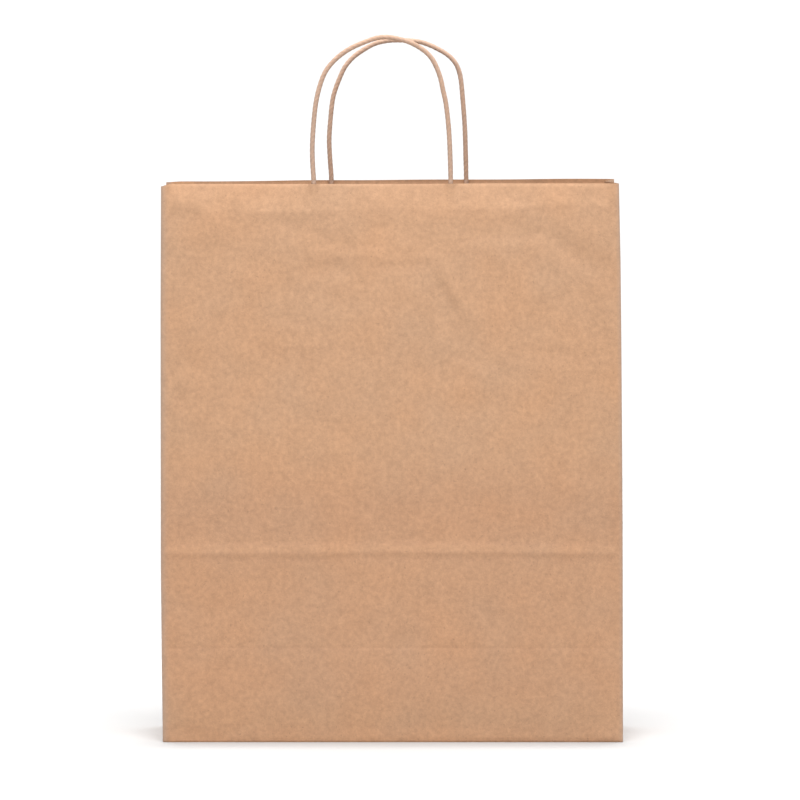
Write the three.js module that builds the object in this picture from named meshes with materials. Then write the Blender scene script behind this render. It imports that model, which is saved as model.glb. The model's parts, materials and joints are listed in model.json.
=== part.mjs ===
// A paper carrier bag with a block bottom, two side gussets and two twisted-paper cord handles.
// Millimetres, +Z up. The origin is the middle of the underside. The front faces -Y.
// One folded sheet is cut at its creases into panels, because each crease is a hinge.

import * as THREE from 'three';

// The bag as it stands.
const WIDTH = 320;
const DEPTH = 132;
const HEIGHT = 390;
const PAPER = 0.4;
const GAP = 0.3;

// The gussets' centre creases stand a little way in, so each gusset half is turned by this much.
const REST_FOLD = THREE.MathUtils.degToRad(7);
// From a wall's inner face to the fold line of the gusset beside it.
const FOLD_CLEARANCE = 0.4;
// From a fold line to the edge of the paper on either side of it.
const CREASE_GAP = 0.15;

// The block bottom: two long flaps that overlap in the middle and two tucked ends above them.
const FLAP_OVERLAP = 24;
const TUCK_DEPTH = 60;
const BOTTOM_LAYER = PAPER + GAP;
const BOTTOM_LAYERS = 3;
const WALL_BASE = BOTTOM_LAYERS * BOTTOM_LAYER;

// The glued seam, inside the back wall beside its left fold.
const SEAM_WIDTH = 15;
const SEAM_INSET = 5;

// The handles: a cord, its two glued ends, and the pair of paper strips that hold them.
const CORD_RADIUS = 1.65;
const CORD_SIDES = 8;
const CORD_STEPS = 44;
const HANDLE_PIVOT_Z = HEIGHT + 2;
const CORD_END_BOTTOM = 348;
const CORD_END_TOP = HEIGHT - GAP;
const PATCH_WIDTH = 188;
const PATCH_BOTTOM = 343;
const PATCH_TOP = 372;
const ARC_SEGMENTS = 5;

// Worked out from the sizes above.
const HALF_WIDTH = WIDTH / 2;
const HALF_DEPTH = DEPTH / 2;
const WALL_INNER = HALF_DEPTH - PAPER;
const FOLD_X = HALF_WIDTH - PAPER;
const FOLD_Y = WALL_INNER - FOLD_CLEARANCE;
const GUSSET_HALF = (FOLD_Y - PAPER * Math.sin(REST_FOLD)) / Math.cos(REST_FOLD);
const BACKING_OUTER = WALL_INNER - GAP;
const BACKING_INNER = BACKING_OUTER - PAPER;
const COVER_OUTER = BACKING_INNER - GAP;
const CORD_Y = COVER_OUTER - CORD_RADIUS;

// Each handle's loop, as x and z, from one leg to the other; both legs start at the pivot height.
const FRONT_LOOP = [
  [-54.2, 392], [-54.9, 403], [-55.2, 414], [-54.5, 429], [-52.4, 448], [-48.9, 461.5],
  [-45.4, 469.2], [-39.6, 476.2], [-33, 481.6], [-26.5, 485.4], [-17, 489.4], [-10, 491.6],
  [-3, 492.2], [4.6, 491], [12.6, 488.6], [19.2, 485.2], [24.6, 481.2], [28.4, 476.8],
  [31.6, 470.6], [34.2, 463.2], [35.8, 455.6], [37.7, 447], [39.8, 429], [40.9, 407], [41.2, 392],
];
const BACK_LOOP = [
  [-43, 392], [-43.8, 403], [-44.5, 418], [-44, 428], [-42, 447], [-40.2, 454], [-37.2, 462],
  [-33.2, 470.4], [-27.4, 477.2], [-19.8, 482.7], [-11.8, 486.9], [-3.6, 488.9], [4.6, 489.3],
  [11, 489.1], [19.8, 488.2], [27.4, 485.7], [33.4, 482.8], [38.4, 479.9], [42.4, 476.6],
  [45.6, 472.6], [47.8, 467.6], [49.1, 462], [50.6, 447], [52, 428], [52.7, 406], [53, 392],
];
// How far the top of each loop leans, across the bag.
const FRONT_LEAN = 1.2;
const BACK_LEAN = -1.6;

const kraft = new THREE.MeshStandardMaterial({ color: 0xd1a17c, roughness: 0.85, metalness: 0 });
const kraftInside = new THREE.MeshStandardMaterial({ color: 0xb98a63, roughness: 0.9, metalness: 0 });
const cordPaper = new THREE.MeshStandardMaterial({ color: 0xc69d77, roughness: 0.8, metalness: 0 });

const bag = new THREE.Group();

function addMesh(parent, name, geometry, material) {
  const mesh = new THREE.Mesh(geometry, material);
  mesh.name = name;
  parent.add(mesh);
}

function addGroup(parent, x, y, turn) {
  const group = new THREE.Group();
  group.position.set(x, y, 0);
  group.rotation.z = turn;
  parent.add(group);
  return group;
}

// A flat plate between two corners.
function plate(low, high) {
  const [x0, y0, z0] = low;
  const [x1, y1, z1] = high;
  const box = new THREE.BoxGeometry(x1 - x0, y1 - y0, z1 - z0);
  box.translate((x0 + x1) / 2, (y0 + y1) / 2, (z0 + z1) / 2);
  return box;
}

function addWalls() {
  const front = plate([-HALF_WIDTH, -HALF_DEPTH, 0], [HALF_WIDTH, -WALL_INNER, HEIGHT]);
  const back = plate([-HALF_WIDTH, WALL_INNER, WALL_BASE], [HALF_WIDTH, HALF_DEPTH, HEIGHT]);
  addMesh(bag, 'front_panel', front, kraft);
  addMesh(bag, 'back_panel', back, kraft);
}

// The two halves of a gusset, each a plate hung on its fold line. side is -1 on the left and 1 on the right.
function addGusset(side, name) {
  const outer = side * PAPER;
  const frontFold = addGroup(bag, side * FOLD_X, -FOLD_Y, side * REST_FOLD);
  const frontHalf = plate(
    [Math.min(outer, 0), CREASE_GAP, WALL_BASE],
    [Math.max(outer, 0), GUSSET_HALF - CREASE_GAP, HEIGHT],
  );
  addMesh(frontFold, `${name}_gusset_front`, frontHalf, kraft);
  const centreCrease = addGroup(frontFold, outer, GUSSET_HALF, -2 * side * REST_FOLD);
  const backHalf = plate(
    [Math.min(-outer, 0), CREASE_GAP, WALL_BASE],
    [Math.max(-outer, 0), GUSSET_HALF - CREASE_GAP, HEIGHT],
  );
  addMesh(centreCrease, `${name}_gusset_back`, backHalf, kraft);
}

// A long flap of the bottom, from one wall to a little past the middle.
function longFlap(yFrom, yTo, layer) {
  const z = layer * BOTTOM_LAYER;
  return plate([-FOLD_X, yFrom, z], [FOLD_X, yTo, z + PAPER]);
}

// The end of a gusset, folded flat over the long flaps: a trapezium with corners mitred at 45 degrees.
function tuckedEnd(side) {
  const base = FOLD_Y;
  const tip = base - TUCK_DEPTH;
  const inner = side * (FOLD_X - TUCK_DEPTH);
  const outline = new THREE.Shape();
  outline.moveTo(side * FOLD_X, -base);
  outline.lineTo(side * FOLD_X, base);
  outline.lineTo(inner, tip);
  outline.lineTo(inner, -tip);
  outline.closePath();
  const geometry = new THREE.ExtrudeGeometry(outline, { depth: PAPER, bevelEnabled: false });
  geometry.translate(0, 0, (BOTTOM_LAYERS - 1) * BOTTOM_LAYER);
  return geometry;
}

function addBottom() {
  const half = FLAP_OVERLAP / 2;
  addMesh(bag, 'bottom_flap_back', longFlap(-half, HALF_DEPTH, 0), kraft);
  addMesh(bag, 'bottom_flap_front', longFlap(-WALL_INNER + GAP, half, 1), kraft);
  addMesh(bag, 'bottom_tuck_left', tuckedEnd(-1), kraftInside);
  addMesh(bag, 'bottom_tuck_right', tuckedEnd(1), kraftInside);
}

function addSeam() {
  const left = -HALF_WIDTH + SEAM_INSET;
  const tab = plate(
    [left, WALL_INNER - GAP - PAPER, WALL_BASE],
    [left + SEAM_WIDTH, WALL_INNER - GAP, HEIGHT],
  );
  addMesh(bag, 'side_seam_tab', tab, kraftInside);
}

// One rounded hump in the cover's outline, over a cord end at x. It leaves the flat stretches of the
// outline at drop from the cord's middle. along is 1 from left to right and -1 the other way.
function addHump(outline, x, side, radius, drop, along) {
  const lip = Math.asin(drop / radius);
  for (let i = 0; i <= ARC_SEGMENTS; i += 1) {
    const share = along > 0 ? i / ARC_SEGMENTS : 1 - i / ARC_SEGMENTS;
    const angle = Math.PI - lip + share * (Math.PI + 2 * lip);
    outline.lineTo(x + radius * Math.cos(angle), side * (CORD_Y + radius * Math.sin(angle)));
  }
}

// The strip glued over the cord ends: flat, with a rounded hollow over each end.
function patchCover(side, legs) {
  const hollow = CORD_RADIUS + GAP;
  const outer = side * COVER_OUTER;
  const inner = side * (COVER_OUTER - PAPER);
  const outline = new THREE.Shape();
  outline.moveTo(-PATCH_WIDTH / 2, outer);
  for (const x of legs) {
    addHump(outline, x, side, hollow, CORD_RADIUS, 1);
  }
  outline.lineTo(PATCH_WIDTH / 2, outer);
  outline.lineTo(PATCH_WIDTH / 2, inner);
  for (const x of [...legs].reverse()) {
    addHump(outline, x, side, hollow + PAPER, CORD_RADIUS - PAPER, -1);
  }
  outline.lineTo(-PATCH_WIDTH / 2, inner);
  outline.closePath();
  const settings = { depth: PATCH_TOP - PATCH_BOTTOM, bevelEnabled: false };
  const geometry = new THREE.ExtrudeGeometry(outline, settings);
  geometry.translate(0, 0, PATCH_BOTTOM);
  return geometry;
}

function cordEnd(x, side) {
  const length = CORD_END_TOP - CORD_END_BOTTOM;
  const cylinder = new THREE.CylinderGeometry(CORD_RADIUS, CORD_RADIUS, length, CORD_SIDES);
  cylinder.rotateX(Math.PI / 2);
  cylinder.translate(x, side * CORD_Y, CORD_END_BOTTOM + length / 2);
  return cylinder;
}

// The loop leans across the bag by lean at its top, and not at all at its legs.
function cordLoop(route, side, lean) {
  const top = Math.max(...route.map(([, z]) => z));
  const points = route.map(([x, z]) => {
    const up = (z - HANDLE_PIVOT_Z) / (top - HANDLE_PIVOT_Z);
    return new THREE.Vector3(x, side * CORD_Y + lean * up * up, z);
  });
  const section = new THREE.Shape();
  section.absarc(0, 0, CORD_RADIUS, 0, 2 * Math.PI);
  return new THREE.ExtrudeGeometry(section, {
    steps: CORD_STEPS,
    curveSegments: CORD_SIDES,
    bevelEnabled: false,
    extrudePath: new THREE.CatmullRomCurve3(points),
  });
}

// side is -1 at the front wall and 1 at the back wall.
function addHandle(name, side, route, lean) {
  const legs = [route[0][0], route[route.length - 1][0]];
  const backing = plate(
    [-PATCH_WIDTH / 2, Math.min(side * BACKING_INNER, side * BACKING_OUTER), PATCH_BOTTOM],
    [PATCH_WIDTH / 2, Math.max(side * BACKING_INNER, side * BACKING_OUTER), PATCH_TOP],
  );
  addMesh(bag, `${name}_patch_backing`, backing, kraftInside);
  addMesh(bag, `${name}_patch_cover`, patchCover(side, legs), kraftInside);
  addMesh(bag, `${name}_cord_end_left`, cordEnd(legs[0], side), cordPaper);
  addMesh(bag, `${name}_cord_end_right`, cordEnd(legs[1], side), cordPaper);
  addMesh(bag, `${name}_handle`, cordLoop(route, side, lean), cordPaper);
}

addWalls();
addGusset(-1, 'left');
addGusset(1, 'right');
addBottom();
addSeam();
addHandle('front', -1, FRONT_LOOP, FRONT_LEAN);
addHandle('back', 1, BACK_LOOP, BACK_LEAN);

export default bag;
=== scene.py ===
"""A kraft paper carrier bag with twisted cord handles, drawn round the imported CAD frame.

Shapes are worked out in millimetres in the row frame and turned to metres where a mesh is made.
"""
import json
import math

import bmesh
import bpy
import numpy as np
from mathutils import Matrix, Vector, noise


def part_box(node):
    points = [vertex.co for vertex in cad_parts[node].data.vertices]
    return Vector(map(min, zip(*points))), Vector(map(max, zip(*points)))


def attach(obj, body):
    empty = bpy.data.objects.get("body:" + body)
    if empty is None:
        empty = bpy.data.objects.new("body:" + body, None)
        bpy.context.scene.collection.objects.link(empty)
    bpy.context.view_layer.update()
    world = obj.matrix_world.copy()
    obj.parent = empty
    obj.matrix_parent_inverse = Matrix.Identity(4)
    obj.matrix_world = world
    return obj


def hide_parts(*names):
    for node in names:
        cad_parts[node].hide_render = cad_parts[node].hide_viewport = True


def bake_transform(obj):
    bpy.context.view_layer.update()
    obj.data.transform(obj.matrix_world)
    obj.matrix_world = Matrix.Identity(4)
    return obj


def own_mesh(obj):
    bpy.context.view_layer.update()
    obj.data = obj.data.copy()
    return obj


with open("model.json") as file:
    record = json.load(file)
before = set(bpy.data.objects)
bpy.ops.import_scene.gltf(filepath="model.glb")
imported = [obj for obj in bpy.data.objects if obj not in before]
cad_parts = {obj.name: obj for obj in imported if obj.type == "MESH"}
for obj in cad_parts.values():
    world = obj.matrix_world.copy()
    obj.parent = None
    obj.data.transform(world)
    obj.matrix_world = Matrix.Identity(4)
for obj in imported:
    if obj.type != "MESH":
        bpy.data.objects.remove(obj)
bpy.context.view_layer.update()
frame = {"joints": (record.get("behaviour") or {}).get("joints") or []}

MM = 0.001


# ---------------------------------------------------------------- sizes from the frame

def corners(node):
    """A CAD node's lowest and highest corner, in millimetres."""
    low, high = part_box(node)
    return np.array(low) / MM, np.array(high) / MM


def joint(name):
    """A joint's place, in millimetres."""
    found = next(j for j in frame["joints"] if j["name"] == name)
    return np.array(found["pos_m"]) / MM


FRONT_LOW, FRONT_HIGH = corners("front_panel")
BACK_LOW, BACK_HIGH = corners("back_panel")
HALF_W = FRONT_HIGH[0]
HALF_D = BACK_HIGH[1]
RIM = FRONT_HIGH[2]
DEPTH = 2 * HALF_D
BASE_STEP = corners("bottom_flap_front")[0][2] - corners("bottom_flap_back")[0][2]
CREASE_X = joint("left_centre_crease")[0]
GUSSET_IN = HALF_W + CREASE_X
BACKING_LOW, BACKING_HIGH = corners("front_patch_backing")
PATCH_BOTTOM = BACKING_LOW[2]
PATCH_TOP = BACKING_HIGH[2]
PATCH_HALF = BACKING_HIGH[0]
TAB_LOW, TAB_HIGH = corners("side_seam_tab")
CORD_R = (corners("front_cord_end_left")[1][0] - corners("front_cord_end_left")[0][0]) / 2
CORD_BOTTOM = corners("front_cord_end_left")[0][2]
PIVOT = joint("front_handle_bend")

# ---------------------------------------------------------------- sizes of the paper

PAPER = 0.25
# The gap between glued layers.
GLUE = 0.08
# How round the wall's two upright folds and its lower edge are. The left fold is the more worn.
LEFT_RADIUS = 2.6
RIGHT_RADIUS = 1.3
BASE_RADIUS = 0.9
# The walls' lower edge and the gussets' lower edge.
BASE_Z = 0.15
GUSSET_FOOT = 1.05
# The bottom: the step between its layers, and how far they reach to the front and to the back.
LAYER = 0.3
BASE_HALF = HALF_D - 0.8
# The seam's tab: how far it reaches past its solid, how far it shows outside over how wide a slope,
# and how far its top stands below the rim.
SEAM_REACH = 2.0
SEAM_PRINT = 0.14
SEAM_SLOPE = 0.7
RIM_SETBACK = 0.8
# The bottom's edge left a crease at FOLD_Z, and the wall's own fold left one at HALF_FOLD_Z.
FOLD_Z = DEPTH
HALF_FOLD_Z = DEPTH / 2
# How many points a wall's upright fold has round its bend.
CORNER_STEPS = 6
# How far apart a sheet's points are: beside a fold, elsewhere, and how far from the fold that is.
WALL_ACROSS = (0.8, 1.9, 6.0)
WALL_UP = (0.7, 1.9, 6.0)
GUSSET_ACROSS = (0.7, 2.4, 6.0)
GUSSET_UP = (0.8, 2.2, 8.0)
PATCH_ACROSS = (0.5, 1.6, 8.0)
PATCH_UP = (0.7, 1.4, 6.0)
BASE_SPACING = 3.0
TAB_SPACING = 1.0


# ---------------------------------------------------------------- camera, light and floor

CAMERA_DISTANCE = 5.7
CAMERA_HEIGHT = 0.523
CAMERA_SIDE = 0.0059
AIM_HEIGHT = 0.23944
VIEW_WIDTH = 0.5578
SENSOR = 36.0
CLIP_END = 2000
SKY = 0.6
# Each lamp's name, kind, place, aim, size and power. A sun's size is its spread.
LAMPS = [
    ("overhead", "SUN", (0, 0.09, 1), (0, 0, 0), math.radians(9), 2.3),
    ("key", "SUN", (0, -0.36, 1), (0, 0, 0), math.radians(24), 2.4),
    ("upper", "SPOT", (0, -0.55, 1.2), (0, 0.8, 0), 0.25, 24.0),
]
UPPER_BEAM = math.radians(56)
FLOOR_TONE = 0.52
FLOOR_ROUGHNESS = 0.9
FLOOR_SPECULAR = 0.1
FLOOR_HALF = 600.0


def add_camera():
    """The photograph's viewpoint: almost level, from far in front."""
    data = bpy.data.cameras.new("camera")
    data.sensor_width = SENSOR
    front = FRONT_LOW[1] * MM
    eye = Vector((CAMERA_SIDE, front - CAMERA_DISTANCE, CAMERA_HEIGHT))
    aim = Vector((CAMERA_SIDE, front, AIM_HEIGHT))
    data.lens = SENSOR * (aim - eye).length / VIEW_WIDTH
    data.clip_end = CLIP_END
    camera = bpy.data.objects.new("camera", data)
    camera.location = eye
    camera.rotation_euler = (aim - eye).to_track_quat("-Z", "Y").to_euler()
    bpy.context.scene.collection.objects.link(camera)
    bpy.context.scene.camera = camera


def add_lamp(name, kind, place, aim, size, power):
    """A lamp at its place, turned to its aim."""
    data = bpy.data.lights.new(name, kind)
    data.energy = power
    if kind == "SUN":
        data.angle = size
    else:
        data.shadow_soft_size = size
        data.spot_size = UPPER_BEAM
        data.spot_blend = 1.0
    light = bpy.data.objects.new(name, data)
    light.location = place
    light.rotation_euler = (Vector(aim) - Vector(place)).to_track_quat("-Z", "Y").to_euler()
    bpy.context.scene.collection.objects.link(light)


def add_studio():
    """A white floor that fills the view, an even sky and soft light from above the front."""
    scene = bpy.context.scene
    scene.view_settings.view_transform = "Standard"
    world = bpy.data.worlds.new("studio")
    world.use_nodes = True
    sky = world.node_tree.nodes["Background"]
    sky.inputs["Color"].default_value = (1, 1, 1, 1)
    sky.inputs["Strength"].default_value = SKY
    scene.world = world
    for lamp in LAMPS:
        add_lamp(*lamp)
    mesh = bpy.data.meshes.new("floor")
    corner_signs = [(-1, -1), (1, -1), (1, 1), (-1, 1)]
    mesh.from_pydata([(a * FLOOR_HALF, b * FLOOR_HALF, 0) for a, b in corner_signs], [], [(0, 1, 2, 3)])
    floor = bpy.data.objects.new("floor", mesh)
    mesh.materials.append(floor_material())
    scene.collection.objects.link(floor)


# ---------------------------------------------------------------- materials

NOISE_ROUGHNESS = 0.55
FIBRE_CURL = 0.6


class Nodes:
    """A short way to write a material's nodes."""

    def __init__(self, name):
        self.material = bpy.data.materials.new(name)
        self.material.use_nodes = True
        self.tree = self.material.node_tree
        self.shader = self.tree.nodes["Principled BSDF"]

    def add(self, kind, inputs=None, **settings):
        """A node with its settings and its inputs."""
        node = self.tree.nodes.new(kind)
        for key, value in settings.items():
            setattr(node, key, value)
        for key, value in (inputs or {}).items():
            self.give(node.inputs[key], value)
        return node

    def give(self, socket, value):
        """Link a socket to another one, or set it to a plain value."""
        if isinstance(value, bpy.types.NodeSocket):
            self.tree.links.new(value, socket)
        else:
            socket.default_value = value

    def place(self):
        """The sheet's own coordinates, in metres."""
        return self.add("ShaderNodeAttribute", attribute_name="rest").outputs["Vector"]

    def noise(self, scale, detail):
        """Cloudy noise over the sheet, 0 to 1."""
        node = self.add("ShaderNodeTexNoise", {"Vector": self.place(), "Scale": scale, "Detail": detail,
                                               "Roughness": NOISE_ROUGHNESS})
        return node.outputs["Fac"]

    def strands(self, scale, shift, width):
        """Thin curled lines, as of fibres: where smooth noise passes through its middle value."""
        place = self.add("ShaderNodeVectorMath", {0: self.place(), 1: shift}, operation="ADD")
        node = self.add("ShaderNodeTexNoise", {"Vector": place.outputs["Vector"], "Scale": scale,
                                               "Detail": 1.0, "Distortion": FIBRE_CURL})
        off = self.math("ABSOLUTE", self.math("SUBTRACT", node.outputs["Fac"], 0.5), 0.0)
        return self.ramp(off, [(0.0, grey(1)), (width, grey(0))])

    def ramp(self, value, stops):
        """A colour for each value, from stops of a place and a colour."""
        node = self.add("ShaderNodeValToRGB", {"Fac": value})
        ramp = node.color_ramp
        while len(ramp.elements) < len(stops):
            ramp.elements.new(0.5)
        for element, (at, colour) in zip(ramp.elements, stops):
            element.position = at
            element.color = colour
        return node.outputs["Color"]

    def mix(self, share, low, high, blend="MIX"):
        """low, changed towards high by a share."""
        node = self.add("ShaderNodeMix", data_type="RGBA", blend_type=blend)
        self.give(node.inputs["Factor"], share)
        self.give(node.inputs[6], low)
        self.give(node.inputs[7], high)
        return node.outputs[2]

    def math(self, operation, first, second):
        """Two values put together by one operation."""
        node = self.add("ShaderNodeMath", {0: first, 1: second}, operation=operation)
        return node.outputs[0]

    def bump(self, height, distance, strength):
        """Fine relief, which the shader takes as its normal."""
        node = self.add("ShaderNodeBump", {"Height": height, "Distance": distance,
                                           "Strength": strength})
        self.give(self.shader.inputs["Normal"], node.outputs["Normal"])


def linear(red, green, blue):
    """An sRGB colour given out of 255, as the shader takes it."""
    def one(value):
        share = value / 255
        return share / 12.92 if share <= 0.04045 else ((share + 0.055) / 1.055) ** 2.4
    return (one(red), one(green), one(blue), 1.0)


def grey(value):
    """A grey of one value, as the shader takes it."""
    return (value, value, value, 1.0)


def floor_material():
    """Plain matt white, as the photograph's floor is."""
    made = Nodes("floor_white")
    made.shader.inputs["Base Color"].default_value = grey(FLOOR_TONE)
    made.shader.inputs["Roughness"].default_value = FLOOR_ROUGHNESS
    made.shader.inputs["Specular IOR Level"].default_value = FLOOR_SPECULAR
    return made.material


# The paper's tone by height in metres: a painted highlight along the foot, and painted shade in the
# lower third, deepest a little above the fold's crease.
PAINTED_FOOT_HIGHLIGHT = (1.09, 1.06, 1.055, 1)
PAINTED_LOW_SHADE = (0.978, 0.955, 0.95, 1)
PAINTED_DEEP_SHADE = (0.955, 0.928, 0.925, 1)
PAINTED_LIGHT_BY_HEIGHT = [
    (0.0, PAINTED_FOOT_HIGHLIGHT), (0.014, grey(1)), (0.04, PAINTED_LOW_SHADE), (0.136, PAINTED_LOW_SHADE), (0.143, PAINTED_DEEP_SHADE), (0.165, PAINTED_DEEP_SHADE),
    (0.205, grey(1)),
]
# How many lumps a metre the paper's clouds, mottle, blotches and specks have.
CLOUD_SCALE = 300.0
MOTTLE_SCALE = 95.0
BLOTCH_SCALE = 24.0
SPECK_SCALE = 610.0
CLOUD_SHADES = [(0.28, 0.955), (0.5, 1.0), (0.72, 1.04)]
MOTTLE_TONES = [(0.3, grey(0.955)), (0.7, grey(1.045))]
BLOTCH_TONES = [(0.3, (1.03, 1.0, 0.965, 1)), (0.7, (0.97, 1, 1.03, 1))]
BLOTCH_SHARE = 0.8
SPECK_TONES = [(0.16, grey(0.78)), (0.21, grey(1.0))]
SPECK_SHARE = 0.8
# Fibres: scale, shift of the noise, width of the line, share of the colour, and shade.
FIBRES = {
    "dark": (560.0, (3.1, 0.0, 0.7), 0.045, 0.10, 0.62),
    "pale": (430.0, (0.0, 5.3, 1.9), 0.05, 0.30, 1.13),
    "long": (240.0, (7.7, 2.2, 0.0), 0.014, 0.14, 0.7),
}
# Painted shade: the paper is taken part way to this grey tone, shown by this share where the painted
# shade is 1.
PAINTED_SHADE_TONE = (0.36, 0.31, 0.28, 1)
PAINTED_SHADE_MIX = 0.5
PAINTED_SHADE_SHARE = 0.45
ROUGHNESS_SPREAD = 0.06
PAPER_SPECULAR = 0.3
# The fine bump: the parts that the clouds and the pale fibres have in it, its depth in metres, strength.
CLOUD_BUMP = 0.6
FIBRE_BUMP = 0.3
BUMP_DEPTH = 0.00012
BUMP_STRENGTH = 0.6


def paper_material(name, tone, roughness, grain):
    """Unbleached paper: a cloudy formation, soft blotches, curled fibres and a few dark specks, with
    painted light by height and painted shade from the mesh.
    """
    made = Nodes(name)

    def shade(factor):
        return linear(*(min(255, c * factor) for c in tone))

    clouds = made.noise(CLOUD_SCALE, 3.0)
    colour = made.ramp(clouds, [(at, shade(factor)) for at, factor in CLOUD_SHADES])
    mottle = made.ramp(made.noise(MOTTLE_SCALE, 2.0), MOTTLE_TONES)
    colour = made.mix(grain, colour, mottle, "MULTIPLY")
    blotch = made.ramp(made.noise(BLOTCH_SCALE, 1.0), BLOTCH_TONES)
    colour = made.mix(BLOTCH_SHARE, colour, blotch, "MULTIPLY")
    # Painted light by height: a painted highlight along the foot and painted shade in the lower third.
    up = made.add("ShaderNodeSeparateXYZ", {"Vector": made.place()}).outputs["Z"]
    colour = made.mix(1.0, colour, made.ramp(up, PAINTED_LIGHT_BY_HEIGHT), "MULTIPLY")
    lines = {}
    for kind, (scale, shift, width, share, factor) in FIBRES.items():
        lines[kind] = made.strands(scale, shift, width)
        colour = made.mix(made.math("MULTIPLY", lines[kind], share * grain), colour, shade(factor))
    specks = made.ramp(made.noise(SPECK_SCALE, 0.0), SPECK_TONES)
    colour = made.mix(SPECK_SHARE, colour, specks, "MULTIPLY")
    # Painted shade: greyed along the walls' upright folds and in the valleys between a cord's strands.
    painted_shade = made.add("ShaderNodeAttribute", attribute_name="painted_shade").outputs["Fac"]
    worn = made.mix(PAINTED_SHADE_MIX, colour, PAINTED_SHADE_TONE)
    colour = made.mix(made.math("MULTIPLY", painted_shade, PAINTED_SHADE_SHARE), colour, worn)
    made.give(made.shader.inputs["Base Color"], colour)
    rough, smooth = grey(roughness + ROUGHNESS_SPREAD), grey(roughness - ROUGHNESS_SPREAD)
    made.give(made.shader.inputs["Roughness"], made.ramp(clouds, [(0.3, rough), (0.7, smooth)]))
    made.shader.inputs["Specular IOR Level"].default_value = PAPER_SPECULAR
    lumps = made.math("MULTIPLY", clouds, CLOUD_BUMP)
    hairs = made.math("MULTIPLY", lines["pale"], FIBRE_BUMP)
    made.bump(made.math("ADD", lumps, hairs), BUMP_DEPTH, BUMP_STRENGTH)
    return made.material


# ---------------------------------------------------------------- mesh helpers

PAPER_SHARP = 35
CORD_SHARP = 60


def finish_mesh(name, points, faces, material, painted_shade, sharp):
    """A piece from points in millimetres. Its rest places and its painted shade go along for the
    material.
    """
    mesh = bpy.data.meshes.new(name)
    mesh.from_pydata((np.asarray(points) * MM).tolist(), [], faces)
    work = bmesh.new()
    work.from_mesh(mesh)
    bmesh.ops.recalc_face_normals(work, faces=work.faces)
    work.to_mesh(mesh)
    work.free()
    mesh.polygons.foreach_set("use_smooth", [True] * len(mesh.polygons))
    mesh.set_sharp_from_angle(angle=math.radians(sharp))
    rest = mesh.attributes.new("rest", "FLOAT_VECTOR", "POINT")
    rest.data.foreach_set("vector", (np.asarray(points) * MM).astype(np.float32).ravel())
    painted_shade_layer = mesh.attributes.new("painted_shade", "FLOAT", "POINT")
    painted_shade_layer.data.foreach_set("value", np.ravel(painted_shade))
    mesh.materials.append(material)
    piece = bpy.data.objects.new(name, mesh)
    bpy.context.scene.collection.objects.link(piece)
    return piece


def grid_faces(rows, columns, first=0, flip=False):
    """Quads over a grid of points numbered row by row."""
    at = np.arange(rows * columns).reshape(rows, columns) + first
    quads = np.stack([at[:-1, :-1], at[:-1, 1:], at[1:, 1:], at[1:, :-1]], axis=-1).reshape(-1, 4)
    return (quads[:, ::-1] if flip else quads).tolist()


def sheet(name, outer, material, inward=1, painted_shade=None):
    """A closed sheet of paper: a grid of points on one face, and the other face a thickness away."""
    rows, columns = outer.shape[:2]
    along = np.gradient(outer, axis=1)
    up = np.gradient(outer, axis=0)
    normal = np.cross(along, up)
    normal /= np.maximum(np.linalg.norm(normal, axis=2, keepdims=True), 1e-9)
    inner = outer - inward * PAPER * normal
    count = rows * columns
    # The painted shade, the same on both faces.
    worn = np.zeros(count) if painted_shade is None else np.ravel(painted_shade)
    faces = grid_faces(rows, columns) + grid_faces(rows, columns, count, True)
    at = np.arange(count).reshape(rows, columns)
    rim = np.concatenate([at[0, :-1], at[:-1, -1], at[-1, :0:-1], at[:0:-1, 0]])
    for a, b in zip(rim, np.roll(rim, -1)):
        faces.append((int(b), int(a), int(a + count), int(b + count)))
    points = np.concatenate([outer.reshape(-1, 3), inner.reshape(-1, 3)])
    return finish_mesh(name, points, faces, material, np.concatenate([worn, worn]), PAPER_SHARP)


def steps(low, high, marks, fine, coarse, reach):
    """Places from low to high, fine apart beside the marks and coarse apart beyond their reach."""
    places = [low]
    while places[-1] < high:
        near = min(abs(places[-1] - m) for m in marks)
        places.append(places[-1] + fine + (coarse - fine) * min(1.0, near / reach))
    return np.interp(places, (low, places[-1]), (low, high))


def even_steps(low, high, spacing):
    """Places from low to high, about a spacing apart."""
    return np.linspace(low, high, math.ceil((high - low) / spacing) + 1)


def smooth_between(value, low, high):
    """0 below low, 1 above high and a smooth step between."""
    share = np.clip((value - low) / (high - low), 0, 1)
    return share * share * (3 - 2 * share)


# A sheet's waves: how many sizes of them, how fast they fade, and how much smaller each size is.
CLOUD_OCTAVES = 2
CLOUD_FADE = 0.7
CLOUD_RATIO = 2.0
# How far apart two seeds' noises are.
SEED_STEP = 7.3


def cloud(x, z, seed, size):
    """Smooth seeded noise over a sheet, about -1 to 1; size is that of its lumps."""
    flat_x, flat_z = np.broadcast_arrays(x, z)
    out = np.empty(flat_x.shape)
    for index in np.ndindex(flat_x.shape):
        place = Vector((flat_x[index] / size, seed * SEED_STEP, flat_z[index] / size))
        out[index] = noise.fractal(place, CLOUD_FADE, CLOUD_RATIO, CLOUD_OCTAVES,
                                   noise_basis="PERLIN_ORIGINAL")
    return out


def line_mark(x, z, start, end, height, width):
    """A soft ridge, or a groove where height is negative, along the line from start to end."""
    start, end = np.array(start, float), np.array(end, float)
    run = end - start
    share = np.clip(((x - start[0]) * run[0] + (z - start[1]) * run[1]) / (run @ run), 0, 1)
    away = np.hypot(x - start[0] - share * run[0], z - start[1] - share * run[1])
    return height * np.exp(-(away / width) ** 2)


# ---------------------------------------------------------------- the outline of the bag

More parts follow.
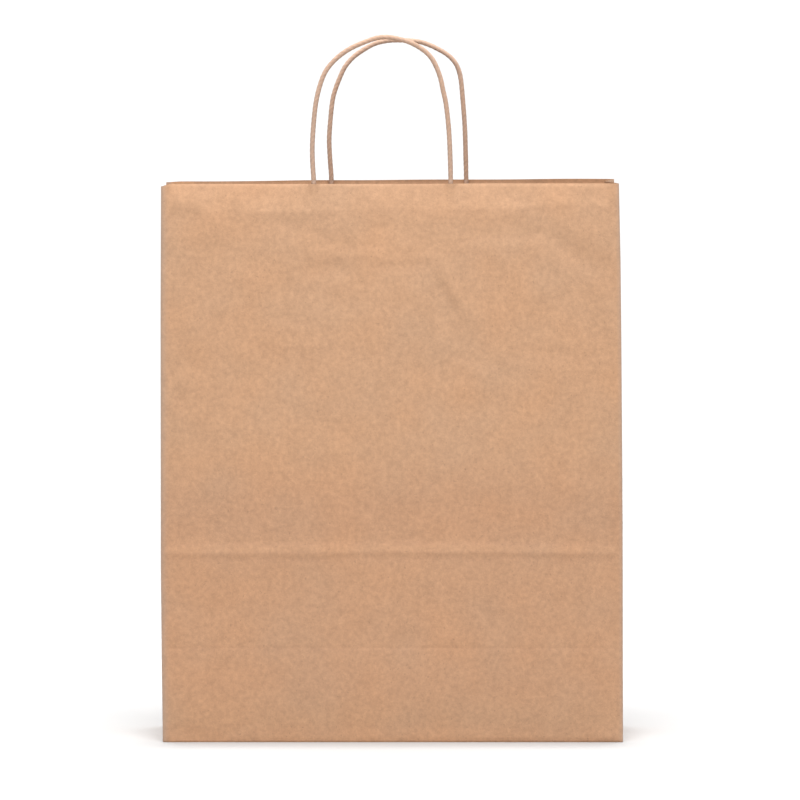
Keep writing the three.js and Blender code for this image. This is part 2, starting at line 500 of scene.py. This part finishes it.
# Where the folds between the walls and the gussets run: heights, and the shift along X there.
LEFT_EDGE = [(0, 0.1), (50, -0.5), (120, -1.1), (300, -1.05), (RIM, -0.6)]
RIGHT_EDGE = [(0, 1.75), (150, 1.3), (210, 0.85), (280, 0.25), (337, -0.4), (RIM, -1.6)]


def edge_shift(side, z):
    """How far a fold between wall and gusset stands from straight, along X."""
    table = LEFT_EDGE if side < 0 else RIGHT_EDGE
    heights, shifts = zip(*table)
    return np.interp(z, heights, shifts)


def shear(x, z):
    """The whole bag follows its two edges."""
    share = np.clip((x + HALF_W) / (2 * HALF_W), 0, 1)
    return x + edge_shift(-1, z) * (1 - share) + edge_shift(1, z) * share


# Each wall's cut edge, by its side along Y: how far it is below the rim, its climbs from x to x by a
# height, the depth and width of the wear at its left corner, and the height of its ripple.
RIMS = {
    -1: {"drop": 0.0, "climbs": [(10, 75, 0.45)], "corner": (1.6, 3.5), "ripple": 0.0},
    1: {"drop": 1.05, "climbs": [(-100, -40, 0.9), (-20, 130, 0.7)], "corner": (0.7, 7.0),
        "ripple": 0.15},
}
RIPPLE_LENGTH = 17.0


def cut_edge(side, x):
    """The height of a wall's cut edge, which isn't level."""
    rim = RIMS[side]
    climb = sum(height * smooth_between(x, start, end) for start, end, height in rim["climbs"])
    depth, width = rim["corner"]
    worn = depth * np.exp(-((x + HALF_W) / width) ** 2)
    return RIM - rim["drop"] + climb - worn + rim["ripple"] * np.sin(x / RIPPLE_LENGTH)


# ---------------------------------------------------------------- walls

FRONT_LEGS = (-54.2, 41.2)
BACK_LEGS = (-43.0, 53.0)

# Where handling has tilted the paper. Each has two ends, a slope (more than 0 looks up) and a width.
FRONT_TILTS = [
    ((-157, 374), (-140, 372), -0.16, 5.5),
    ((-128, 385), (-116, 358), 0.10, 7.0),
    ((-88, 366), (-60, 365), -0.11, 5.0),
    ((-50, 357), (-42, 354), -0.10, 3.0),
    ((-52, 343), (-8, 343.5), 0.12, 3.6),
    ((-51, 325), (-36, 326), 0.12, 5.0),
    ((-34, 311), (6, 309), -0.06, 4.0),
    ((-5, 334), (27, 336.5), -0.10, 3.0),
    ((10, 350.5), (15, 349), 0.10, 3.0),
    ((27, 336), (40, 314), -0.14, 4.0),
    ((40, 314), (49, 294), -0.16, 4.4),
    ((20, 322), (38, 284), 0.11, 6.0),
    ((60, 350), (104, 352), 0.09, 4.0),
    ((62, 345), (108, 346), 0.06, 7.0),
    ((106, 352), (132, 330), 0.10, 5.5),
    ((124, 354), (154, 335), -0.11, 7.5),
    ((74, 366), (92, 366), -0.10, 4.5),
    ((84, 275), (142, 273), -0.06, 4.0),
    ((74, 266), (79, 262), -0.11, 3.6),
    ((46, 267), (60, 262), 0.15, 3.0),
    ((50, 244), (54, 242), -0.07, 4.0),
    ((-6, 252), (-1, 246), 0.10, 3.4),
    ((-78, 293), (-58, 291), 0.13, 3.4),
    ((-88, 276), (-57, 274), -0.07, 4.0),
    ((-110, 331), (-99, 328), 0.09, 4.0),
    ((-157, 262), (-150, 238), 0.26, 4.0),
    ((-150, 238), (-143, 206), 0.24, 4.0),
    ((-120, 226), (-84, 222), 0.04, 7.0),
    ((-60, 232), (-30, 224), -0.05, 6.0),
    ((84, 176), (122, 170), -0.05, 6.0),
    ((-150, 92), (-112, 88), 0.05, 7.0),
    ((-20, 84), (30, 70), -0.05, 7.0),
    ((138, 54), (158, 22), -0.08, 4.5),
    ((-152, 12), (-118, 5), -0.08, 4.0),
    ((-112, 5.5), (-92, 13), 0.09, 2.2),
]
BACK_TILTS = [
    ((60, 330), (20, 296), -0.12, 4.5),
    ((-90, 345), (-60, 300), 0.12, 4.5),
    ((110, 240), (80, 212), -0.10, 5.0),
    ((-30, 230), (10, 222), 0.10, 5.0),
    ((-120, 180), (-70, 172), -0.06, 7.0),
    ((30, 90), (90, 80), 0.06, 7.0),
]
# Soft furrows: two ends, a depth and a width.
FRONT_FURROWS = [
    ((-63, 355), (-53, 303), 0.55, 2.8),
    ((38, 318), (49, 292), 0.45, 2.6),
    ((80, 226), (82, 150), 0.16, 2.4),
    ((-18, 150), (-17, 96), 0.12, 2.4),
]
BACK_FURROWS = [((40, 350), (48, 310), 0.45, 2.6)]


def tilt_mark(x, z, start, end, slope, width):
    """A facet along a line, which looks up where slope is above 0. The paper eases back beside it."""
    start, end = np.array(start, float), np.array(end, float)
    run = end - start
    reach = np.hypot(*run)
    along = ((x - start[0]) * run[0] + (z - start[1]) * run[1]) / reach
    across = (-(x - start[0]) * run[1] + (z - start[1]) * run[0]) / reach
    beyond = np.maximum(np.abs(along - reach / 2) - reach / 2, 0)
    fade = np.exp(-0.5 * (beyond / width) ** 2 - 0.5 * (across / width) ** 2)
    upward = 1.0 if run[0] >= 0 else -1.0
    return -slope * upward * across * fade


# The ridge left where the bottom was folded up: how far above its crest, and the share of its height.
# The crest runs a little above the fold and wanders by two waves, each a height and a length. It is
# softened by taking the mean of three places.
FOLD_REACH = (-45.0, -4.3, 0.0, 7.2)
FOLD_SHARE = (0.0, 0.38, 1.0, 0.0)
CREST_ABOVE = 0.9
CREST_WAVES = ((0.5, 41.0), (0.25, 13.0))
CREST_SOFT = (-0.7, 0.0, 0.7)
# The groove at the wall's own fold and the ridge along its foot: depth or height, place and width.
HALF_FOLD_GROOVE = (-0.16, HALF_FOLD_Z, 1.1)
FOOT_RIDGE = (0.12, 3.8, 2.2)
# Above the strips the wall leans from a soft bend, which climbs to the right.
BEND_ABOVE = 0.9
BEND_CLIMB = 0.012
BEND_SOFT = 0.8
# The cut edge curls in, over this height below and above the rim.
RIM_CURL = 0.28
RIM_CURL_REACH = (1.6, 0.4)
# How far the strips glued inside show, and how far their edges' slopes reach outwards and inwards.
STRIP_PRINT = 0.09
STRIP_SIDES = (0.8, 0.8)
STRIP_BOTTOM = (0.9, 0.9)
STRIP_TOP = (1.6, 0.8)
# The ridge over a cord's leg and the groove on its left: height and width. The groove's lower and
# upper end stand this far from the leg, and it starts this far above the strips' top. Both run on
# past the rim.
LEG_RIDGE = (0.3, 2.0)
LEG_GROOVE = (-0.4, 1.6)
LEG_GROOVE_ASIDE = (3.6, 3.4)
LEG_GROOVE_ABOVE = 2.0
LEG_PAST_RIM = 4.0
# The paper's broad and small waves: height and length. The small ones grow between two heights.
BROAD_WAVE = (0.55, 105.0)
SMALL_WAVE = (0.14, 34.0)
SMALL_WAVE_GROWTH = (0.45, 150.0, 330.0)


def band(value, height, place, width):
    """A level ridge, or a groove where height is negative."""
    return height * np.exp(-((value - place) / width) ** 2)


def fold_marks(x, z, seed, fold_height):
    """The ridge where the bottom was folded up, the groove at half its height, and the foot's ridge."""
    wander = sum(height * np.sin(x / length + (i + 1) * seed)
                 for i, (height, length) in enumerate(CREST_WAVES))
    above = z - (FOLD_Z + CREST_ABOVE + wander)
    ridge = sum(np.interp(above + soft, FOLD_REACH, FOLD_SHARE) for soft in CREST_SOFT) / len(CREST_SOFT)
    return fold_height * ridge + band(z, *HALF_FOLD_GROOVE) + band(z, *FOOT_RIDGE)


def rim_bend(x, z, lean):
    """How far the wall leans in above the strips, with its cut edge curled in."""
    bend = z - PATCH_TOP - BEND_ABOVE - BEND_CLIMB * x
    below, above = RIM_CURL_REACH
    curl = RIM_CURL * smooth_between(z, RIM - below, RIM + above)
    return -0.5 * lean * (bend + np.sqrt(bend ** 2 + BEND_SOFT)) - curl


def glued_prints(x, z, legs):
    """What shows outside of the strips and the cord's ends glued inside."""
    def within(inwards, slope):
        return smooth_between(inwards, -slope[0], slope[1])
    out = STRIP_PRINT * within(PATCH_HALF - np.abs(x), STRIP_SIDES)
    out = out * within(z - PATCH_BOTTOM, STRIP_BOTTOM) * within(PATCH_TOP + BEND_CLIMB * x - z, STRIP_TOP)
    top = RIM + LEG_PAST_RIM
    for leg in legs:
        low, high = (leg - aside for aside in LEG_GROOVE_ASIDE)
        out = out + line_mark(x, z, (low, PATCH_TOP + LEG_GROOVE_ABOVE), (high, top), *LEG_GROOVE)
        out = out + line_mark(x, z, (leg, PATCH_TOP), (leg, top), *LEG_RIDGE)
    return out


def wall_relief(x, z, legs, tilts, furrows, seed, fold_height, lean):
    """How far a wall stands out from flat: folds, prints of what is glued inside, and handling."""
    out = fold_marks(x, z, seed, fold_height) + rim_bend(x, z, lean) + glued_prints(x, z, legs)
    for start, end, depth, width in furrows:
        out = out + line_mark(x, z, start, end, -depth, width)
    for tilt in tilts:
        out = out + tilt_mark(x, z, *tilt)
    height, length = BROAD_WAVE
    out = out + height * cloud(x, z, seed, length)
    height, length = SMALL_WAVE
    growth, start, end = SMALL_WAVE_GROWTH
    return out + (height + growth * smooth_between(z, start, end)) * cloud(x, z, seed + 3, length)


def wall_profile():
    """The wall's section seen from above as x and the depth behind its face, left to right."""
    left = [(-HALF_W + LEFT_RADIUS * (1 - math.cos(a)), LEFT_RADIUS * (1 - math.sin(a)))
            for a in np.linspace(0, math.pi / 2, CORNER_STEPS, endpoint=False)]
    flat_x = steps(-HALF_W + LEFT_RADIUS, HALF_W - RIGHT_RADIUS,
                   [*FRONT_LEGS, *BACK_LEGS, -PATCH_HALF, PATCH_HALF], *WALL_ACROSS)
    right = [(HALF_W - RIGHT_RADIUS * (1 - math.sin(a)), RIGHT_RADIUS * (1 - math.cos(a)))
             for a in np.linspace(0, math.pi / 2, CORNER_STEPS + 1)[1:]]
    flat = [(x, 0.0) for x in flat_x]
    return np.array(left + flat + right)


# Each wall's cord legs, handling marks, seed, height of the fold's ridge and how far it leans in
# above the strips, by its side along Y.
WALLS = {
    -1: {"legs": FRONT_LEGS, "tilts": FRONT_TILTS, "furrows": FRONT_FURROWS,
         "seed": 1, "fold_height": 1.2, "lean": 0.125},
    1: {"legs": BACK_LEGS, "tilts": BACK_TILTS, "furrows": BACK_FURROWS,
        "seed": 8, "fold_height": 0.7, "lean": -0.05},
}


# The relief dies out towards a wall's upright folds, between these distances, and below this height.
CALM_EDGE = (0.5, 9.0)
CALM_FOOT = 3.0
# A cord holds the wall out over this half width, and with its backing strip up to this far past it.
CORD_TOUCH = 1.4
BACKING_PAST = 1.5


def wall_stand(side, x, z):
    """How far a wall's face stands out: nothing at its folded edges, and never inside its cord."""
    out = wall_relief(x, z, **WALLS[side])
    if side > 0:
        out = out + SEAM_PRINT * smooth_between(TAB_HIGH[0] - x, -SEAM_SLOPE, SEAM_SLOPE)
    out = out * smooth_between(HALF_W - np.abs(x), *CALM_EDGE) * np.clip(z / CALM_FOOT, 0, 1)
    backing = (PAPER + GLUE) * smooth_between(PATCH_TOP - z, -BACKING_PAST, 0)
    held_out = abs(PIVOT[1]) + CORD_R + PAPER + 2 * GLUE - HALF_D + backing
    for leg in WALLS[side]["legs"]:
        aside = np.maximum(np.abs(shear(x, z) - leg) - CORD_TOUCH, 0)
        out = np.where(z > CORD_BOTTOM, np.maximum(out, held_out - (aside / CORD_R) ** 2), out)
    return out


def wall_heights():
    """The rows of a wall, as shares of its height, closer together at its folds and its patches."""
    return steps(0.0, RIM, [0, HALF_FOLD_Z, FOLD_Z, PATCH_BOTTOM, PATCH_TOP, RIM], *WALL_UP) / RIM


# How strongly the upright folds are greyed as painted shade: the strength and the width.
LEFT_FOLD_PAINTED_SHADE = (1.7, 3.0)
RIGHT_FOLD_PAINTED_SHADE = (1.5, 1.6)


def make_wall(name, side, material):
    """side is -1 for the front wall, whose face looks along -Y, and 1 for the back wall."""
    profile = wall_profile()
    shares = wall_heights()
    x = np.broadcast_to(profile[:, 0], (len(shares), len(profile)))
    behind = np.broadcast_to(profile[:, 1], x.shape)
    z = BASE_Z + shares[:, None] * (cut_edge(side, x) - BASE_Z)
    foot = BASE_RADIUS - np.sqrt(BASE_RADIUS ** 2 - np.clip(BASE_RADIUS - z, 0, None) ** 2)
    y = side * (HALF_D - behind - foot + wall_stand(side, x, z))
    outer = np.stack([shear(x, z), y, z], axis=-1)
    # Painted shade along the two upright folds.
    painted_shade = sum(band(x, strength, place, width)
               for place, (strength, width) in ((-HALF_W, LEFT_FOLD_PAINTED_SHADE), (HALF_W, RIGHT_FOLD_PAINTED_SHADE)))
    return sheet(name, outer, material, inward=-side, painted_shade=painted_shade)


# How soft a gusset's slanting creases and its centre crease are, as shares of its half width.
SLANT_SOFT = 0.035
CENTRE_SOFT = 0.02
# The creases' own ridges and grooves: height and width.
GUSSET_FOLD = (-0.35, 1.6)
GUSSET_LOWER_SLANT = (0.32, 1.3)
GUSSET_UPPER_SLANT = (-0.2, 1.4)
GUSSET_CENTRE = (-0.25, 1.0)
# Its broad wave: height, length and how far the two sides' waves are apart. It starts above the foot.
GUSSET_WAVE = (0.5, 80.0, 40.0)
GUSSET_SEED = 11
GUSSET_CALM_EDGE = (0.5, 8.0)
GUSSET_CALM_FOOT = 4.0


def gusset_depth(across, up):
    """How far in a gusset is folded, as a share. Both measures are 0 at its outer folds and 1 inside."""
    slants = 0.5 * (across + up - np.sqrt((across - up) ** 2 + SLANT_SOFT ** 2))
    centre = 0.5 * (1 + across - np.sqrt((1 - across) ** 2 + CENTRE_SOFT ** 2))
    return np.clip(np.minimum(slants, centre), 0, None)


def gusset_relief(side, half, y, z):
    """How far a gusset stands out beside its folded shape: creases, and a broad wave."""
    height, length, apart = GUSSET_WAVE
    out = line_mark(y, z, (-half, FOLD_Z), (half, FOLD_Z), *GUSSET_FOLD)
    for way in (-1, 1):
        out = out + line_mark(y, z, (way * half, 0), (0, HALF_FOLD_Z), *GUSSET_LOWER_SLANT)
        out = out + line_mark(y, z, (way * half, FOLD_Z), (0, HALF_FOLD_Z), *GUSSET_UPPER_SLANT)
    out = out + line_mark(y, z, (0, HALF_FOLD_Z), (0, RIM), *GUSSET_CENTRE)
    out = out + height * cloud(y + apart * side, z, GUSSET_SEED + side, length)
    calm = smooth_between(half - np.abs(y), *GUSSET_CALM_EDGE)
    return out * calm * np.clip(z / GUSSET_CALM_FOOT, 0, 1)


def make_gusset(name, side, material):
    """A side of the bag: pushed in along its centre crease, with the block bottom's creases below."""
    half = HALF_D - (LEFT_RADIUS if side < 0 else RIGHT_RADIUS)
    y = steps(-half, half, [0.0, -half, half], *GUSSET_ACROSS)
    shares = steps(0.0, RIM, [0, HALF_FOLD_Z, FOLD_Z, RIM], *GUSSET_UP) / RIM
    top = np.interp(y, (-half, half), (cut_edge(-1, side * HALF_W), cut_edge(1, side * HALF_W)))
    z = GUSSET_FOOT + shares[:, None] * (top - GUSSET_FOOT)
    y = np.broadcast_to(y, z.shape)
    depth = GUSSET_IN * gusset_depth(np.clip(1 - np.abs(y) / half, 0, 1), z / HALF_FOLD_Z)
    x = side * (HALF_W - depth + gusset_relief(side, half, y, z)) + edge_shift(side, z)
    outer = np.stack([x, y, z], axis=-1)
    return sheet(name, outer, material, inward=side)


# ---------------------------------------------------------------- bottom, seam and patches

# The waves of the bottom's flaps: height and length.
FLAP_WAVE = (0.02, 45.0)


def flat_sheet(name, low, high, level, material, seed, mitre):
    """A flap lying level. mitre is -1 or 1 for a tucked end whose tip points along +X or -X, or 0."""
    x = even_steps(low[0], high[0], BASE_SPACING)
    y = even_steps(low[1], high[1], BASE_SPACING)
    grid_x, grid_y = np.meshgrid(x, y)
    if mitre:
        inset = (grid_x - low[0]) if mitre < 0 else (high[0] - grid_x)
        centre = (low[1] + high[1]) / 2
        half = (high[1] - low[1]) / 2
        grid_y = centre + (grid_y - centre) * (half - inset) / half
    height, length = FLAP_WAVE
    z = level + height * cloud(grid_x, grid_y, seed, length)
    outer = np.stack([shear(grid_x, z), grid_y, z], axis=-1)
    return sheet(name, outer, material)


def make_bottom(outside, inside):
    """The four layers of the bottom, in the order of the CAD's layers."""
    pieces = []
    for name, tone, mitre in (("bottom_flap_back", outside, 0), ("bottom_flap_front", outside, 0),
                              ("bottom_tuck_left", inside, -1), ("bottom_tuck_right", inside, 1)):
        low, high = corners(name)
        low[1] = max(low[1], -BASE_HALF)
        high[1] = min(high[1], BASE_HALF)
        level = LAYER * (1 + round(low[2] / BASE_STEP))
        piece = flat_sheet(name.replace("bottom", "base"), low, high, level, tone, len(pieces), mitre)
        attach(piece, "front_wall")
        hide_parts(name)
        pieces.append(piece)
    return pieces


def make_seam(material):
    """The glued tab inside the back wall, which follows that wall's face."""
    x = even_steps(TAB_LOW[0] - SEAM_REACH, TAB_HIGH[0], TAB_SPACING)
    shares = wall_heights()
    grid_x = np.broadcast_to(x, (len(shares), len(x)))
    z = BACK_LOW[2] + shares[:, None] * (cut_edge(1, grid_x) - RIM_SETBACK - BACK_LOW[2])
    y = HALF_D + wall_stand(1, grid_x, z) - PAPER - GLUE
    outer = np.stack([shear(grid_x, z), y, z], axis=-1)
    piece = sheet("seam_tab", outer, material, inward=-1)
    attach(piece, "back_wall")
    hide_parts("side_seam_tab")


# The cover strip's hump over a cord's end, and the room between the two. The cover is a little
# narrower than the backing, and a little lower.
HUMP_WIDTH = 2.7
HUMP_ROOM = 0.2
COVER_SHARE = 0.996
COVER_DROP = 0.4


def make_patch(name, side, legs, body, material):
    """The two strips that hold a cord's ends to the wall, which follow the wall's face."""
    z = steps(PATCH_BOTTOM, PATCH_TOP, [PATCH_BOTTOM, PATCH_TOP], *PATCH_UP)
    x = steps(-PATCH_HALF, PATCH_HALF, legs, *PATCH_ACROSS)
    grid_x, grid_z = np.meshgrid(x, z)
    glued = HALF_D + wall_stand(side, grid_x, grid_z) - PAPER - GLUE
    outer = np.stack([grid_x, side * glued, grid_z], axis=-1)
    strip = sheet(f"{name}_backing_strip", outer, material, inward=-side)
    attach(strip, body)
    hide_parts(f"{name}_patch_backing")
    near = sum(np.exp(-((grid_x - leg) / HUMP_WIDTH) ** 2) for leg in legs)
    face = glued - 2 * PAPER - GLUE
    face += (abs(PIVOT[1]) - CORD_R - PAPER - GLUE - HUMP_ROOM - face) * near
    outer = np.stack([grid_x * COVER_SHARE, side * face, grid_z - COVER_DROP], axis=-1)
    strip = sheet(f"{name}_cover_strip", outer, material, inward=side)
    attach(strip, body)
    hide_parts(f"{name}_patch_cover")


# ---------------------------------------------------------------- cords

FRONT_LOOP = [
    (-54.2, 392), (-54.9, 403), (-55.2, 414), (-54.5, 429), (-52.4, 448), (-48.9, 461.5),
    (-45.4, 469.2), (-39.6, 476.2), (-33, 481.6), (-26.5, 485.4), (-17, 489.4), (-10, 491.6),
    (-3, 492.2), (4.6, 491), (12.6, 488.6), (19.2, 485.2), (24.6, 481.2), (28.4, 476.8),
    (31.6, 470.6), (34.2, 463.2), (35.8, 455.6), (37.7, 447), (39.8, 429), (40.9, 407), (41.2, 392),
]
BACK_LOOP = [
    (-43, 392), (-43.8, 403), (-44.5, 418), (-44, 428), (-42, 447), (-40.2, 454), (-37.2, 462),
    (-33.2, 470.4), (-27.4, 477.2), (-19.8, 482.7), (-11.8, 486.9), (-3.6, 488.9), (4.6, 489.3),
    (11, 489.1), (19.8, 488.2), (27.4, 485.7), (33.4, 482.8), (38.4, 479.9), (42.4, 476.6),
    (45.6, 472.6), (47.8, 467.6), (49.1, 462), (50.6, 447), (52, 428), (52.7, 406), (53, 392),
]
# How far each loop's top leans back.
FRONT_LEAN = 1.2
BACK_LEAN = -1.6
RING_POINTS = 30
RING_STEP = 0.55
CURVE_STEPS = 12
TWIST_PITCH = 11.0
STRANDS = 3
# The radius in a valley as a share of the cord's, how far a strand rises above it, and how full it is.
VALLEY_RADIUS = 0.915
STRAND_RISE = 0.12
STRAND_FULLNESS = 0.6
# Uneven twist, thickness and roundness: how much, and over what length.
TWIST_DRIFT = (0.5, 30)
THICKNESS_DRIFT = (0.035, 9)
ROUNDNESS_DRIFT = (0.04, 22)
# How strongly the valleys between the strands are greyed: painted shade.
VALLEY_SHADE = 1.6


def curve_through(points, step):
    """Points a step apart on a smooth curve through the given ones (centripetal Catmull-Rom)."""
    points = np.array(points, float)
    ends = np.concatenate([[2 * points[0] - points[1]], points, [2 * points[-1] - points[-2]]])
    out = []
    for p0, p1, p2, p3 in zip(ends, ends[1:], ends[2:], ends[3:]):
        t0 = 0.0
        t1 = t0 + np.linalg.norm(p1 - p0) ** 0.5
        t2 = t1 + np.linalg.norm(p2 - p1) ** 0.5
        t3 = t2 + np.linalg.norm(p3 - p2) ** 0.5
        t = np.linspace(t1, t2, CURVE_STEPS, endpoint=False)[:, None]
        a1 = (t1 - t) / (t1 - t0) * p0 + (t - t0) / (t1 - t0) * p1
        a2 = (t2 - t) / (t2 - t1) * p1 + (t - t1) / (t2 - t1) * p2
        a3 = (t3 - t) / (t3 - t2) * p2 + (t - t2) / (t3 - t2) * p3
        b1 = (t2 - t) / (t2 - t0) * a1 + (t - t0) / (t2 - t0) * a2
        b2 = (t3 - t) / (t3 - t1) * a2 + (t - t1) / (t3 - t1) * a3
        out.append((t2 - t) / (t2 - t1) * b1 + (t - t1) / (t2 - t1) * b2)
    line = np.concatenate([*out, points[-1:]])
    along = np.concatenate([[0], np.cumsum(np.linalg.norm(np.diff(line, axis=0), axis=1))])
    at = np.linspace(0, along[-1], int(along[-1] / step) + 1)
    return np.stack([np.interp(at, along, line[:, k]) for k in range(3)], axis=1)


def cord_route(loop, side, lean):
    """The cord's middle, from one glued end over the loop to the other."""
    top = max(z for _, z in loop)
    depth = side * abs(PIVOT[1])
    points = []
    for x, z in loop:
        up = (z - PIVOT[2]) / (top - PIVOT[2])
        points.append((x, depth + lean * up * up, z))
    first, last = points[0], points[-1]
    start = [(first[0], depth, CORD_BOTTOM), (first[0], depth, (CORD_BOTTOM + RIM) / 2)]
    end = [(last[0], depth, (CORD_BOTTOM + RIM) / 2), (last[0], depth, CORD_BOTTOM)]
    return curve_through([*start, *points, *end], RING_STEP)


def drift(run, seed, kind, amount, length):
    """Smooth seeded noise along a cord; each kind has its own."""
    return amount * noise.noise(Vector((run / length, seed, kind)))


def cord_rings(line, seed):
    """Rings of points round the line, and the painted shade of their valleys: a strip of paper twisted
    into soft strands.
    """
    tangent = np.gradient(line, axis=0)
    tangent /= np.linalg.norm(tangent, axis=1, keepdims=True)
    side = np.array([0.0, 1.0, 0.0])
    angles = np.linspace(0, 2 * math.pi, RING_POINTS, endpoint=False)
    rings = []
    valleys = []
    for i, (centre, direction) in enumerate(zip(line, tangent)):
        side = side - direction * (side @ direction)
        side /= np.linalg.norm(side)
        other = np.cross(direction, side)
        run = i * RING_STEP
        turn = 2 * math.pi * run / TWIST_PITCH + drift(run, seed, 0, *TWIST_DRIFT)
        lobes = np.abs(np.cos(STRANDS * (angles - turn) / 2)) ** STRAND_FULLNESS
        uneven = drift(run, seed, 3, *THICKNESS_DRIFT)
        radius = CORD_R * (VALLEY_RADIUS + STRAND_RISE * lobes + uneven)
        flat = 1 + drift(run, seed, 9, *ROUNDNESS_DRIFT)
        around = np.cos(angles)[:, None] * side * flat + np.sin(angles)[:, None] * other / flat
        rings.append(centre + radius[:, None] * around)
        valleys.append(VALLEY_SHADE * (1 - lobes))
    return np.array(rings), np.array(valleys)


def make_cord(name, loop, side, lean, nodes, material, seed):
    """One handle from end to end, closed by a fan of faces at each end."""
    line = cord_route(loop, side, lean)
    rings, valleys = cord_rings(line, seed)
    count = len(rings)
    points = np.concatenate([rings.reshape(-1, 3), line[:1], line[-1:]])
    faces = []
    for i in range(count - 1):
        for j in range(RING_POINTS):
            k = (j + 1) % RING_POINTS
            a, b = i * RING_POINTS, (i + 1) * RING_POINTS
            faces.append((a + j, a + k, b + k, b + j))
    for j in range(RING_POINTS):
        k = (j + 1) % RING_POINTS
        last = (count - 1) * RING_POINTS
        faces.append((k, j, count * RING_POINTS))
        faces.append((last + j, last + k, count * RING_POINTS + 1))
    # Painted shade in the valleys between the strands; none at the end caps.
    painted_shade = np.concatenate([valleys.ravel(), [0.0, 0.0]])
    piece = finish_mesh(name, points, faces, material, painted_shade, CORD_SHARP)
    leave = line[0].copy()
    leave[2] = PATCH_TOP
    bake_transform(piece)
    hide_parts(*nodes)


# ---------------------------------------------------------------- the bag

# Each paper's tone out of 255, its roughness and the strength of its grain.
CORD_PAPER = ((184, 151, 129), 0.7, 0.8)
KRAFT_PAPER = ((193, 151, 118), 0.68, 0.8)
PATCH_PAPER = ((199, 157, 121), 0.78, 0.9)

add_camera()
cord_paper = paper_material("twisted_cord_paper", *CORD_PAPER)
make_cord("front_cord", FRONT_LOOP, -1, FRONT_LEAN,
          ["front_handle", "front_cord_end_left", "front_cord_end_right"], cord_paper, 2)
make_cord("back_cord", BACK_LOOP, 1, BACK_LEAN,
          ["back_handle", "back_cord_end_left", "back_cord_end_right"], cord_paper, 5)

kraft = paper_material("kraft_paper", *KRAFT_PAPER)
patch_paper = paper_material("patch_paper", *PATCH_PAPER)

front = make_wall("front_sheet", -1, kraft)
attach(front, "front_wall")
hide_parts("front_panel")
back = make_wall("back_sheet", 1, kraft)
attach(back, "back_wall")
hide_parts("back_panel")

for side, word in ((-1, "left"), (1, "right")):
    gusset = make_gusset(f"{word}_gusset_sheet", side, kraft)
    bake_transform(gusset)
    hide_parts(f"{word}_gusset_front", f"{word}_gusset_back")

base = make_bottom(kraft, patch_paper)
make_seam(patch_paper)
make_patch("front", -1, FRONT_LEGS, "front_wall", patch_paper)
make_patch("back", 1, BACK_LEGS, "back_wall", patch_paper)

for piece in base:
    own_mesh(piece)

add_studio()
